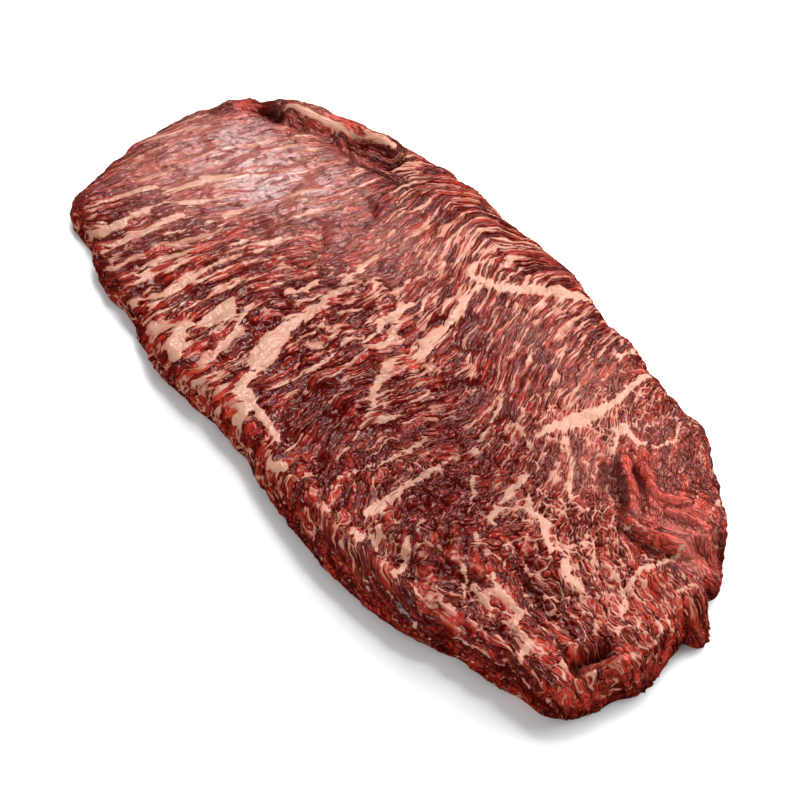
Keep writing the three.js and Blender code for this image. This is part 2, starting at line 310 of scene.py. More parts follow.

# Broad places: x, y, reach along X and Y, and how strong. Pale film, which also paints sheen, fat and lean,
# ribs broken into lumps, painted shade over dull stretches, gloss, and bright red lean, freshly cut and also
# painted light on the far rim and the ragged end
PALE_FILM_AND_SHEEN = [
    (-118, 8, 44, 30, 1.0), (-108, 30, 30, 16, 0.6), (-42, 30, 20, 22, 0.45), (62, 52, 10, 12, 0.5),
    (92, 22, 14, 12, 0.6), (-145, -8, 26, 26, 0.6), (138, 33, 8, 4, 0.8), (125, 25, 4, 4, 0.7),
    (154, 28, 6, 8, 0.8), (-142, 58, 14, 6, 1.0), (-118, 66, 12, 6, 1.0), (-160, 2, 14, 20, 0.6),
    (-160, -42, 12, 20, 0.5), (-62, 22, 18, 20, 0.5), (25, 45, 24, 16, 0.4), (122, 34, 22, 14, 0.4),
    (142, 38, 16, 14, 0.6), (105, 55, 20, 14, 0.4), (-150, -22, 20, 26, 0.5), (-120, -48, 20, 22, 0.35),
]
FAT_PLACES = [
    (-15, -72, 40, 12, 0.5), (-62, -70, 16, 18, 0.6), (-20, 5, 36, 14, 0.5), (-35, 48, 30, 18, 0.7),
    (25, 55, 30, 18, 0.4), (78, 36, 20, 14, 0.7), (55, -10, 40, 14, 0.35), (-130, -35, 34, 40, 0.25),
    (130, -8, 40, 14, 0.3),
]
LEAN_PLACES = [
    (-165, -45, 12, 30, 0.6), (15, -58, 30, 14, 0.6), (118, 50, 22, 14, 0.4), (-75, 20, 14, 24, 0.5),
    (20, 18, 14, 14, 0.35), (72, -32, 12, 22, 0.7), (-150, 42, 22, 8, 0.7), (120, -28, 30, 10, 0.4),
    (112, 31, 12, 7, 0.6), (119, 39, 14, 5, 0.5), (138, 24, 14, 6, 0.4), (-165, 20, 12, 10, 0.6),
    (-105, 51, 22, 7, 0.8), (-102, 28, 14, 12, 0.6), (76, -16, 14, 20, 0.5), (15, -48, 24, 18, 0.8),
    (45, -8, 20, 20, 0.5), (88, -52, 16, 12, 0.5), (-55, -38, 18, 12, 0.3), (-10, -35, 24, 14, 0.3),
]
LUMP_PLACES = [
    (-142, 41, 14, 8, 1.0), (-108, 54, 12, 7, 1.0), (-135, 62, 26, 6, 1.0), (-172, 20, 8, 16, 0.8),
]
PAINTED_SHADE_PLACES = [
    (-10, -20, 30, 30, 0.4), (15, -48, 26, 18, 0.9), (45, -8, 20, 24, 0.8), (30, -28, 24, 20, 0.4),
    (75, -16, 20, 26, 1.2), (88, -50, 18, 14, 0.9), (100, -33, 16, 14, 0.5), (-60, -45, 26, 30, 0.4),
    (-130, -60, 22, 24, 0.5),
]
SHEEN_PLACES = [
    (-128, 6, 30, 20, 1.0), (-105, 22, 20, 16, 0.7),
]
BRIGHT_AND_LIT_PLACES = [
    (-30, -66, 12, 9, 0.8), (-15, -77, 12, 4, 0.8), (106, -41, 5, 3, 1.0), (120, -64, 24, 7, 0.5),
    (-100, -30, 5, 24, 0.6), (-60, 74, 50, 10, 0.6), (-120, 58, 30, 10, 0.5), (175, -30, 10, 24, 0.4),
    (-64, -78, 40, 8, 0.6), (8, -5, 8, 8, 0.5), (-165, 26, 10, 10, 0.8), (-140, 54, 30, 8, 0.4),
    (112, 40, 30, 20, 0.6), (165, 10, 20, 20, 0.6), (140, 34, 24, 20, 0.7), (150, -40, 30, 12, 0.5),
]


def outline_curve(count_per_span=40):
    """The outline as a closed centripetal curve: points close together, and the length up to each."""
    corners = np.array(OUTLINE, float)
    points = []
    for i in range(len(corners)):
        p0, p1, p2, p3 = (corners[(i + k) % len(corners)] for k in (-1, 0, 1, 2))
        d0, d1, d2 = (math.sqrt(np.linalg.norm(b - a)) for a, b in ((p0, p1), (p1, p2), (p2, p3)))
        t1 = ((p1 - p0) / d0 - (p2 - p0) / (d0 + d1) + (p2 - p1) / d1) * d1
        t2 = ((p2 - p1) / d1 - (p3 - p1) / (d1 + d2) + (p3 - p2) / d2) * d1
        t = np.linspace(0, 1, count_per_span, endpoint=False)[:, None]
        points.append(p1 + t1 * t + (3 * (p2 - p1) - 2 * t1 - t2) * t**2 + (2 * (p1 - p2) + t1 + t2) * t**3)
    points = np.concatenate(points)
    steps = np.linalg.norm(np.roll(points, -1, 0) - points, axis=1)
    return points, np.concatenate([[0], np.cumsum(steps)])


def boundary_points(along, across):
    """The outline cut at its corners into equal steps: the ragged end, far edge, thin end and near edge."""
    points, length = outline_curve()
    closed = np.vstack([points, points[:1]])
    marks = []
    for corner in (NEAR_RAGGED, FAR_RAGGED, FAR_THIN, NEAR_THIN):
        marks.append(length[np.argmin(np.linalg.norm(points - corner, axis=1))])
    found = []
    for start, end, count in zip(marks, marks[1:] + marks[:1], (across, along, across, along)):
        if end < start:
            end += length[-1]
        at = np.linspace(start, end, count, endpoint=False) % length[-1]
        found.append(np.stack([np.interp(at, length, closed[:, k]) for k in (0, 1)], -1))
    return np.concatenate(found)


def smoothstep(x, low, high):
    t = np.clip((x - low) / (high - low), 0, 1)
    return t * t * (3 - 2 * t)


def waves(x, y):
    """Waves in golden-angle directions, which never line up: mostly within -1 to 1."""
    total = np.zeros_like(x)
    for k in range(SWELL_WAVES):
        length = SHORTEST_WAVE + (LONGEST_WAVE - SHORTEST_WAVE) * (k / (SWELL_WAVES - 1)) ** 2
        turn = k * GOLDEN_ANGLE
        along = x * math.cos(turn) + y * math.sin(turn)
        total += math.sqrt(length / LONGEST_WAVE) * np.sin(2 * math.pi * along / length + k * k)
    return total * math.sqrt(4 / SWELL_WAVES)


def segment_distance(x, y, a, b):
    """How far each point is from the segment, and how far along it the nearest point lies, from 0 to 1."""
    dx, dy = b[0] - a[0], b[1] - a[1]
    t = np.clip(((x - a[0]) * dx + (y - a[1]) * dy) / (dx * dx + dy * dy + 1e-9), 0, 1)
    return np.hypot(x - a[0] - t * dx, y - a[1] - t * dy), t


def feature_height(x, y, features):
    total = np.zeros_like(x)
    for path, reach, height in features:
        nearest = np.full_like(x, np.inf)
        for a, b in zip(path, path[1:]):
            nearest = np.minimum(nearest, segment_distance(x, y, a, b)[0])
        share = np.clip(nearest / reach, 0, 1)
        total += height * (1 - share * share) ** 2
    return total


def thickness(x, y):
    plain = THIN_END_HEIGHT + (THICK_END_HEIGHT - THIN_END_HEIGHT) * smoothstep(x, TAPER_FROM, TAPER_TO)
    turned = smoothstep(x, TURN_FROM, TURN_TO)
    swell = SWELL_HEIGHT * (waves(x, y * STRETCH) * (1 - turned) + waves(x * STRETCH, y) * turned)
    return np.maximum(THINNEST, plain + swell + feature_height(x, y, ROLLS + CREASES + DROOPS + FOLDS))


def inset(points, distance):
    """Points of the outline drawn in towards the middle."""
    return points * (1 - np.stack([distance / HALF_LENGTH, distance / HALF_WIDTH], -1))


def shoulder_reach(points):
    ragged = smoothstep(points[:, 0], RAGGED_FROM, HALF_LENGTH)
    return SHOULDER_REACH + (RAGGED_SHOULDER_REACH - SHOULDER_REACH) * ragged


def wall_ring(boundary, degrees):
    angle = math.radians(degrees)
    rise = WIDEST_SHARE if degrees < 0 else 1 - WIDEST_SHARE
    reach = np.full(len(boundary), FOOT_REACH) if degrees < 0 else shoulder_reach(boundary)
    uneven = waves((boundary[:, 0] + degrees * WALL_LEAN) * WALL_WAVE_SCALE, boundary[:, 1] * WALL_WAVE_SCALE)
    distance = reach * (1 - math.cos(angle)) + WALL_ROUGHNESS * math.cos(angle) * uneven**2
    flat = inset(boundary, distance)
    height = thickness(flat[:, 0], flat[:, 1]) * (WIDEST_SHARE + rise * math.sin(angle))
    return np.column_stack([flat, height])


def grid_inside(boundary, along, across):
    """A grid of points that fills a closed boundary, blended between its four sides."""
    ends = np.cumsum([0, across, along, across, along])
    loop = np.vstack([boundary, boundary[:1]])
    ragged, far, thin, near = (loop[a:b + 1] for a, b in zip(ends, ends[1:]))
    far, thin = far[::-1], thin[::-1]
    u = np.linspace(0, 1, along + 1)[:, None, None]
    v = np.linspace(0, 1, across + 1)[None, :, None]
    grid = (1 - v) * near[:, None] + v * far[:, None] + (1 - u) * thin[None] + u * ragged[None]
    grid -= (1 - u) * (1 - v) * near[0] + u * (1 - v) * near[-1] + (1 - u) * v * far[0] + u * v * far[-1]
    return grid


def loop_indices(along, across):
    """The grid's edge in the boundary's order, as (column, row)."""
    ragged = [(along, j) for j in range(across)]
    far = [(along - i, across) for i in range(along)]
    thin = [(0, across - j) for j in range(across)]
    near = [(i, 0) for i in range(along)]
    return ragged + far + thin + near


def grid_faces(along, across, index, upwards):
    faces = []
    for i in range(along):
        for j in range(across):
            quad = [index[i, j], index[i + 1, j], index[i + 1, j + 1], index[i, j + 1]]
            faces.append(quad if upwards else quad[::-1])
    return faces


def build_slab(along, across, wall_angles, coarse):
    """The steak's closed surface: a fine grid on the top, rings down the wall, and a coarser grid underneath.

    Returns the points, the faces, and where each point lies on the spread-out skin, with 1 underneath.
    """
    boundary = boundary_points(along, across)
    count = len(boundary)
    top_edge = inset(boundary, shoulder_reach(boundary))
    flat = grid_inside(top_edge, along, across)
    x, y = flat[..., 0].ravel(), flat[..., 1].ravel()
    points = [np.column_stack([x, y, thickness(x, y)])]
    plans = [np.column_stack([x, y, np.zeros_like(x)])]
    index = np.arange((along + 1) * (across + 1)).reshape(along + 1, across + 1)
    faces = grid_faces(along, across, index, True)

    previous = np.array([index[i, j] for i, j in loop_indices(along, across)])
    above = points[0][previous]
    tangent = np.roll(boundary, -1, 0) - np.roll(boundary, 1, 0)
    outward = np.column_stack([tangent[:, 1], -tangent[:, 0]])
    outward /= np.linalg.norm(outward, axis=1)[:, None]
    skin = above[:, :2].copy()
    total = len(points[0])
    rings = [wall_ring(boundary, degrees) for degrees in wall_angles]
    for ring in rings:
        skin = skin + outward * np.linalg.norm(ring - above, axis=1)[:, None]
        current = total + np.arange(count)
        for i in range(count):
            n = (i + 1) % count
            faces.append([previous[i], current[i], current[n], previous[n]])
        points.append(ring)
        plans.append(np.column_stack([skin, np.zeros(count)]))
        previous, above, total = current, ring, total + count

    few_along, few_across = along // coarse, across // coarse
    edge = inset(rings[-1][::coarse, :2], np.full(count // coarse, UNDERSIDE_INSET))
    under = grid_inside(edge, few_along, few_across)
    x, y = under[..., 0].ravel(), under[..., 1].ravel()
    points.append(np.column_stack([x, y, np.zeros_like(x)]))
    plans.append(np.column_stack([x, y, np.ones_like(x)]))
    index = total + np.arange(len(x)).reshape(few_along + 1, few_across + 1)
    faces += grid_faces(few_along, few_across, index, False)
    inner = [index[i, j] for i, j in loop_indices(few_along, few_across)]
    for i, a in enumerate(inner):
        b = inner[(i + 1) % len(inner)]
        fine = [previous[(i * coarse + k) % count] for k in range(coarse + 1)]
        faces += [[fine[k], a, fine[k + 1]] for k in range(coarse)]
        faces.append([a, b, fine[-1]])
    return np.concatenate(points), faces, np.concatenate(plans)


def grain_angle(x, y, softness=30.0):
    """The fibres' direction, smoothed between the grain lines."""
    mids, angles = [], []
    for line in GRAIN_LINES:
        for a, b in zip(line, line[1:]):
            dx, dy = b[0] - a[0], b[1] - a[1]
            for t in (0.25, 0.75):
                mids.append((a[0] + dx * t, a[1] + dy * t))
                angle = math.atan2(dy, dx)
                angles.append(angle + 2 * math.pi if angle < -math.pi / 2 else angle)
    mids, angles = np.array(mids), np.array(angles)
    squared = (x[..., None] - mids[:, 0]) ** 2 + (y[..., None] - mids[:, 1]) ** 2
    weight = 1 / (squared + softness) ** 2
    return (weight * angles).sum(-1) / weight.sum(-1)


def grain_fit(spacing=6.0, half_x=228.0, half_y=132.0, straightness=4.0):
    """Two smooth fields on a lattice, in mm: how far along the grain a place is, and how far across it.

    Each stays level in the other's direction, and grows by about 1 a mm in its own.
    """
    columns, rows = int(2 * half_x / spacing) + 1, int(2 * half_y / spacing) + 1
    xs = -half_x + spacing * np.arange(columns)
    ys = -half_y + spacing * np.arange(rows)
    number = np.arange(columns * rows).reshape(columns, rows)
    x, y = (g.ravel() for g in np.meshgrid(xs, ys, indexing="ij"))

    # The lattice's edges, the direction of the grain at the middle of each, and the same for its squares
    edges = []
    for a, b, axis in ((number[:-1], number[1:], 0), (number[:, :-1], number[:, 1:], 1)):
        edges.append((a.ravel(), b.ravel(), np.full(a.size, axis)))
    a, b, axis = (np.concatenate(part) for part in zip(*edges))
    edge_angle = grain_angle((x[a] + x[b]) / 2, (y[a] + y[b]) / 2)
    corners = [number[i:columns - 1 + i, j:rows - 1 + j].ravel() for i in (0, 1) for j in (0, 1)]
    square_angle = grain_angle(x[corners[0]] + spacing / 2, y[corners[0]] + spacing / 2)

    # Least squares: along each edge a field grows as far as the edge leads in its own direction, and over
    # each square it stays level in the other
    size = columns * rows
    fields = []
    for turn in (0, -math.pi / 2):
        normal = np.zeros((size, size))
        for first, second, value in ((a, a, 1), (b, b, 1), (a, b, -1), (b, a, -1)):
            np.add.at(normal, (first, second), value)
        level_x, level_y = -np.sin(square_angle + turn) / 2, np.cos(square_angle + turn) / 2
        shares = [-level_x - level_y, level_y - level_x, level_x - level_y, level_x + level_y]
        for first, share in zip(corners, shares):
            for second, other in zip(corners, shares):
                np.add.at(normal, (first, second), straightness * share * other)
        normal[0, 0] += 1
        step = np.where(axis == 0, np.cos(edge_angle + turn), np.sin(edge_angle + turn)) * spacing
        target = np.zeros(size)
        np.add.at(target, b, step)
        np.add.at(target, a, -step)
        field = np.linalg.solve(normal, target).reshape(columns, rows)
        fields.append(field / np.median(np.hypot(*np.gradient(field, spacing))))
    return xs, ys, fields


def along_cords(x, y, along, across):
    """Turns the grain to run along the cords: each takes its own length and width as the grain's fields."""
    for path, reach in CORDS:
        nearest, side, length, done = np.full_like(x, np.inf), np.zeros_like(x), np.zeros_like(x), 0.0
        for a, b in zip(path, path[1:]):
            distance, t = segment_distance(x, y, a, b)
            step = math.hypot(b[0] - a[0], b[1] - a[1])
            cross = (b[0] - a[0]) * (y - a[1]) - (b[1] - a[1]) * (x - a[0])
            closer = distance < nearest
            nearest = np.where(closer, distance, nearest)
            side = np.where(closer, np.copysign(distance, -cross), side)
            length = np.where(closer, done + t * step, length)
            done += step
        middle = np.argmin(nearest + abs(length - done / 2))
        inside = smoothstep(nearest / reach, 1.0, 0.8)
        along = along + (length - length[middle]) * inside + (along[middle] - along) * inside
        across = across + (side - side[middle]) * inside + (across[middle] - across) * inside
    return along, across


def sample(xs, ys, field, x, y):
    """The field between the lattice's points."""
    fx = np.clip((x - xs[0]) / (xs[1] - xs[0]), 0, len(xs) - 1.001)
    fy = np.clip((y - ys[0]) / (ys[1] - ys[0]), 0, len(ys) - 1.001)
    i, j = fx.astype(int), fy.astype(int)
    a, b = fx - i, fy - j
    low = field[i, j] * (1 - a) + field[i + 1, j] * a
    high = field[i, j + 1] * (1 - a) + field[i + 1, j + 1] * a
    return low * (1 - b) + high * b


def seam_depth(x, y, share=0.36, farthest=8.0):
    """How far inside the nearest seam of fat each place is, in mm; below 0 outside, down to -farthest.

    The middle of a seam counts for a share of its width, because its uneven edge adds the rest.
    """
    deepest = np.full_like(x, -farthest)
    for path in SEAMS:
        for a, b in zip(path, path[1:]):
            distance, t = segment_distance(x, y, a, b)
            deepest = np.maximum(deepest, (a[2] + (b[2] - a[2]) * t) * share - distance)
    return deepest


def spread(x, y, places):
    """How strongly each place lies in the soft ovals, from 0 to 1."""
    total = np.zeros_like(x)
    for cx, cy, rx, ry, strength in places:
        total += strength * np.exp(-(((x - cx) / rx) ** 2 + ((y - cy) / ry) ** 2))
    return np.clip(total, 0, 1)


def skin_fields(points, plan):
    """What the relief and the colours read at each point of the skin, three values to a field.

    grain: how far along and across the fibres, and how short the ribs are, over 1 where they are lumps
    plan: where the point lies on the spread-out skin, and 1 underneath
    zones: how far inside a seam, how fatty, and whether the ribs are short (above 0) or calm (below 0)
    places: how much of it is wall, pale film with painted sheen, and painted shade
    tints: how much of it is bright (freshly cut red, and painted light), raised and glossy
    """
    x, y, under = plan.T
    xs, ys, (along, across) = grain_fit()
    along, across = along_cords(x, y, sample(xs, ys, along, x, y), sample(xs, ys, across, x, y))
    ragged = smoothstep(x + SHORT_SLANT * y, SHORT_FROM, SHORT_TO)
    film_and_painted_sheen = spread(x, y, PALE_FILM_AND_SHEEN)

    # Down the wall the spread-out skin runs ahead of the points, by as much as it has gone down
    wall = np.clip(np.linalg.norm(plan[:, :2] - points[:, :2], axis=1) / WALL_SKIN, 0, 1) * (1 - under)
    short = np.maximum(ragged, wall)
    kind = short - (1 - smoothstep(x + CALM_SLANT * y, CALM_FROM, CALM_TO)) * (1 - short)
    short = np.maximum(short, film_and_painted_sheen * 0.35) + np.maximum(wall, spread(x, y, LUMP_PLACES))

    fatty = 0.5 + 0.5 * spread(x, y, FAT_PLACES) - 0.5 * spread(x, y, LEAN_PLACES)
    fatty -= 0.25 * film_and_painted_sheen + 0.3 * wall * ragged
    folded = feature_height(x, y, FOLDS) / HIGH_FOLD
    # Painted shade: creases, the hollows between folds and dull stretches are darkened towards dark lean
    painted_shade = np.clip(-feature_height(x, y, CREASES) / DEEP_CREASE - 0.2, 0, 1)
    painted_shade = np.maximum(painted_shade, 0.6 * np.clip(-folded - 0.2, 0, 1))
    painted_shade = np.maximum(painted_shade, 0.45 * spread(x, y, PAINTED_SHADE_PLACES))
    return {
        "grain": (along, across, short),
        "plan": (x, y, under),
        "zones": (seam_depth(x, y), fatty, kind),
        "places": (wall, film_and_painted_sheen, painted_shade),
        "tints": (spread(x, y, BRIGHT_AND_LIT_PLACES), np.clip(folded, 0, 1), spread(x, y, SHEEN_PLACES)),
    }


class Value:
    """A node's socket, with arithmetic that adds Math nodes."""

    def __init__(self, graph, socket):
        self.graph, self.socket = graph, socket

    def math(self, operation, other):
        return self.graph.node("ShaderNodeMath", [self, other], operation=operation)

    def __add__(self, other):
        return self.math("ADD", other)

    def __sub__(self, other):
        return self.math("SUBTRACT", other)

    def __rsub__(self, other):
        return self.graph.node("ShaderNodeMath", [other, self], operation="SUBTRACT")

    def __mul__(self, other):
        return self.math("MULTIPLY", other)

    def __truediv__(self, other):
        return self.math("DIVIDE", other)

    __radd__, __rmul__ = __add__, __mul__

    def __neg__(self):
        return self * -1

    def smaller(self, other):
        return self.math("MINIMUM", other)

    def larger(self, other):
        return self.math("MAXIMUM", other)

    def clipped(self, low, high):
        return self.larger(low).smaller(high)

    def towards(self, other, share):
        return self + (other - self) * share

    def smooth(self, low, high, start=0.0, end=1.0):
        """From start to end, eased, as the value goes from low to high."""
        return self.graph.node(
            "ShaderNodeMapRange",
            {"Value": self, "From Min": low, "From Max": high, "To Min": start, "To Max": end},
            interpolation_type="SMOOTHSTEP")


class Graph:
    """A node tree that is written as expressions. It serves materials and geometry alike."""

    def __init__(self, tree):
        self.tree = tree

    def node(self, kind, inputs=(), output=0, **settings):
        """Adds a node: its settings first, then its inputs by place or by name."""
        made = self.tree.nodes.new(kind)
        for name, value in settings.items():
            setattr(made, name, value)
        pairs = inputs.items() if isinstance(inputs, dict) else enumerate(inputs)
        for key, value in pairs:
            if isinstance(value, Value):
                self.tree.links.new(value.socket, made.inputs[key])
            elif value is not None:
                made.inputs[key].default_value = value
        return Value(self, made.outputs[output]) if made.outputs else None

    def parts(self, vector):
        made = self.node("ShaderNodeSeparateXYZ", [vector])
        return [Value(self, socket) for socket in made.socket.node.outputs]

    def spot(self, x, y, size, shift):
        """Where a plane pattern is read: size is its step in mm, and shift keeps it apart from the others."""
        steps = [part / step + move if move else part / step for part, step, move in zip((x, y), size, shift)]
        return self.node("ShaderNodeCombineXYZ", steps)

    def noise(self, x, y, size, shift=(0, 0), detail=2.0, roughness=0.5, output=0):
        """Soft noise over a plane, about 0 to 1 and mostly near 0.5."""
        vector = self.spot(x, y, size, shift)
        return self.node(
            "ShaderNodeTexNoise", {"Vector": vector, "Scale": 1.0, "Detail": detail, "Roughness": roughness},
            output=output, noise_dimensions="2D")

    def cells(self, x, y, size, shift=(0, 0), feature="DISTANCE_TO_EDGE", output="Distance"):
        """Random cells over a plane: how far from the nearest border, or each cell's own colour."""
        return self.node(
            "ShaderNodeTexVoronoi", {"Vector": self.spot(x, y, size, shift), "Scale": 1.0},
            output=output, voronoi_dimensions="2D", feature=feature)

    def mix(self, factor, first, second):
        """Two colours blended."""
        return self.node(
            "ShaderNodeMix", {0: factor, 6: first, 7: second}, output=2, data_type="RGBA")


def flesh_pattern(g, attribute):
    """Where fat and lean lie, and how the surface swells and parts: the relief and the colours share this.

    The lean is split into ribs along the grain. Fat fills the gaps between them where the meat is rich, and
    closes over the ribs where it is richest. Everything here is in mm.
    """
    u, v, short = g.parts(attribute("grain"))
    x, y, under = g.parts(attribute("plan"))
    seam, fatty, kind = g.parts(attribute("zones"))
    wall, film_and_painted_sheen, painted_shade = g.parts(attribute("places"))
    nodular, calm = kind.larger(0.0), (-kind).larger(0.0)
    lumpy, short = (short - 1).larger(0.0), short.smaller(1.0)

    x = x + under * UNDERSIDE_SHIFT
    u = u + under * UNDERSIDE_SHIFT
    drift_x, drift_y, _ = g.parts(g.noise(x, y, DRIFT, output=1))
    wiggle_x, wiggle_y, _ = g.parts(g.noise(x, y, WIGGLE, (40, 0), detail=1.0, output=1))
    u = u + (drift_x - 0.5) * 9 + (wiggle_x - 0.5) * 2.5
    v = v + (drift_y - 0.5) * (5 - calm * 2) + (wiggle_y - 0.5) * (nodular + 0.8 - calm * 0.5)

    streak = g.noise(u, v, STREAK, (200, 0), roughness=0.6)
    bundle = g.noise(u, v, BUNDLE, detail=3.0, roughness=0.55).towards(streak, calm)
    strand = g.noise(u, v, STRAND, (0, 70), roughness=0.55)
    clump = g.noise(x, y, CLUMP, (90, 0), roughness=0.55)
    gap = g.cells(u, v, GAP, (33, 0)).towards(g.cells(u, v, SHORT_GAP, (66, 0)), short)
    gap = gap.smooth(0.0, 0.17, 1.0, 0.0) * (1 - film_and_painted_sheen * 0.6)
    edge = g.cells(u, v, RIB).towards(g.cells(u, v, SHORT_RIB, (50, 0)), short)
    edge = edge.towards(g.cells(x, y, ROUND_CELL, (20, 0)) * 1.3, lumpy)
    own = g.cells(u, v, RIB, feature="F1", output="Color")
    return SimpleNamespace(
        u=u, v=v, x=x, y=y, under=under, seam=seam, fatty=fatty, nodular=nodular, calm=calm, wall=wall,
        film_and_painted_sheen=film_and_painted_sheen, painted_shade=painted_shade, bundle=bundle, strand=strand, clump=clump, gap=gap, edge=edge, own=own)


def fat_depth(p):
    """How deep inside fat each place is: above 0 in fat, below 0 in lean."""
    uneven = 1 - p.nodular * 0.6
    marbling = (p.bundle - 0.5) * (p.calm * 1.4 + 1.2) + (p.strand - 0.5) * (1.1 - p.calm * 0.5)
    marbling = marbling * uneven + (p.clump - 0.5) * (0.45 - p.calm * 0.3) + (p.fatty - 0.5) * 0.5
    near_seam = (p.seam + 1.5).clipped(0.0, 3.0) * (uneven * 0.09 + 0.02)
    in_seam = (p.seam + (p.clump - 0.5) * 2.5 + (p.strand - 0.5) * 1.5).smooth(-0.3, 0.9) * 0.35
    in_gap = p.gap * (p.bundle * 1.6 - 0.4) * 0.5
    return marbling + near_seam + in_seam + in_gap + p.nodular * 0.06 - 0.06 - p.edge


class SteakSettings(bpy.types.PropertyGroup):
    """Sizes and colours of the steak."""

    bundle_relief: bpy.props.FloatProperty(
        name="Bundle relief", description="How far the muscle bundles stand out of the top, in mm",
        default=1.5, min=0, max=4)
    strand_relief: bpy.props.FloatProperty(
        name="Strand relief", description="How far single fibres stand out, in mm", default=0.5, min=0, max=2)
    groove_depth: bpy.props.FloatProperty(
        name="Groove depth", description="Depth of the grooves between clumps of lean, in mm",
        default=0.75, min=0, max=3)
    fat_relief: bpy.props.FloatProperty(
        name="Fat relief", description="How far fat stands above lean, in mm", default=0.15, min=-2, max=2)
    lean: bpy.props.FloatVectorProperty(
        name="Lean", description="Colour of the lean meat", default=(0.24, 0.012, 0.006), **COLOUR)
    # Dark lean is both the driest lean and the painted shade in grooves, at the sides of ribs and in creases
    dark_lean_and_shade: bpy.props.FloatVectorProperty(
        name="Dark lean", description="Colour of the driest lean and of the grooves",
        default=(0.052, 0.001, 0.0006), **COLOUR)
    # Bright lean is freshly cut lean, and also painted light on the far rim and the ragged end
    bright_lean: bpy.props.FloatVectorProperty(
        name="Bright lean", description="Colour of the freshest cut lean",
        default=(0.44, 0.034, 0.018), **COLOUR)
    fat: bpy.props.FloatVectorProperty(
        name="Fat", description="Colour of thick fat", default=(0.405, 0.214, 0.148), **COLOUR)
    thin_fat: bpy.props.FloatVectorProperty(
        name="Thin fat", description="Colour of thin fat that the lean shows through",
        default=(0.32, 0.108, 0.072), **COLOUR)
    # The film colour is the pale membrane at the thin end, and also painted sheen on the thin end and the
    # ragged end
    film_and_painted_sheen: bpy.props.FloatVectorProperty(
        name="Film", description="Colour of the thin silvery film at the thin end",
        default=(0.34, 0.13, 0.11), **COLOUR)


class StageSettings(bpy.types.PropertyGroup):
    """The floor and the studio light."""

    floor_colour: bpy.props.FloatVectorProperty(
        name="Floor", description="Colour of the floor", default=(0.76, 0.76, 0.76), **COLOUR)
    key_strength: bpy.props.FloatProperty(
        name="Key light", description="Strength of the main light, which comes from behind the steak",
        default=1.15, min=0)
    key_spread: bpy.props.FloatProperty(
        name="Key spread", description="How wide the main light looks from the floor", subtype="ANGLE",
        default=math.radians(11), min=0, max=math.pi)
    sheen_power: bpy.props.FloatProperty(
        name="Sheen light", description="Power of the soft light that the thin end mirrors", unit="POWER",
        default=9.0, min=0)
    front_power: bpy.props.FloatProperty(
        name="Front light", description="Power of the light in front of the near edge", unit="POWER",
        default=9.0, min=0)
    fill_power: bpy.props.FloatProperty(
        name="Fill light", description="Power of the light overhead", unit="POWER", default=9.5, min=0)
    far_power: bpy.props.FloatProperty(
        name="Far light", description="Power of the long light behind the far edge", unit="POWER",
        default=2.8, min=0)


